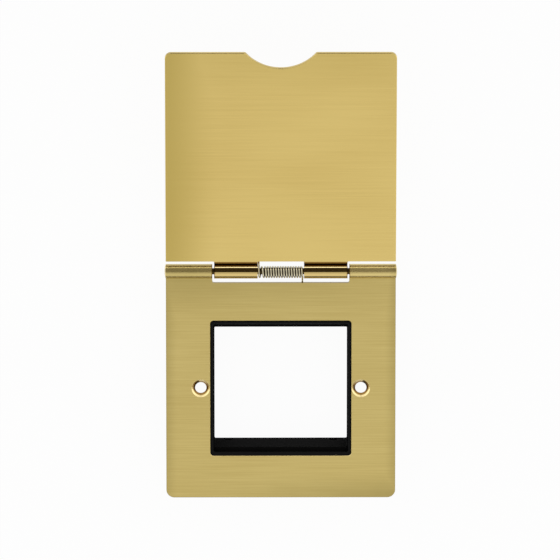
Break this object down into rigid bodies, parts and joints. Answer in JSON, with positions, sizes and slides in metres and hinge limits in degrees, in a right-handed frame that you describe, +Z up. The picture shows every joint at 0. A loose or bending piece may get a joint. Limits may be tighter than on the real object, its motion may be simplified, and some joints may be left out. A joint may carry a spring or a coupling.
{
  "type": "floor box cover",
  "caption": "Brass floor plate with a framed window for wiring modules and a sprung hinged lid, shown open.",
  "frame": {"origin": "midway between the two fixing holes, on the underside of the plate, which is the level of the floor", "axes": "+X along the hinge, +Y from the fixing holes towards the hinge, +Z up out of the floor"},
  "size_m": [0.0874, 0.1777, 0.0293],
  "materials": {
    "plate_brass": "satin, brushed along the hinge",
    "lid_brass": "fine satin on the faces, polished knuckles",
    "pin_brass": "turned and peened",
    "spring_steel": "drawn wire, dull",
    "frame_plastic": "black, satin moulding",
    "fixing_steel": "zinc plated"
  },
  "bodies": {
    "base": {"base_plate": "plate_brass", "hinge_pin": "pin_brass", "torsion_spring": "spring_steel", "module_frame": "frame_plastic", "frame_stud_1": "fixing_steel", "frame_stud_2": "fixing_steel", "frame_stud_3": "fixing_steel", "frame_stud_4": "fixing_steel", "frame_nut_1": "fixing_steel", "frame_nut_2": "fixing_steel", "frame_nut_3": "fixing_steel", "frame_nut_4": "fixing_steel"},
    "lid": {"lid": "lid_brass"}
  },
  "joints": [
    {"name": "lid_hinge", "type": "hinge", "parent": "base", "child": "lid", "pos_m": [0, 0.0463, 0.00275], "axis": [1, 0, 0], "range_deg": [-9.7, 171.7], "stiffness_Nm_per_rad": 0.0208, "springref_deg": 119.18, "deforming": ["torsion_spring"]}
  ]
}
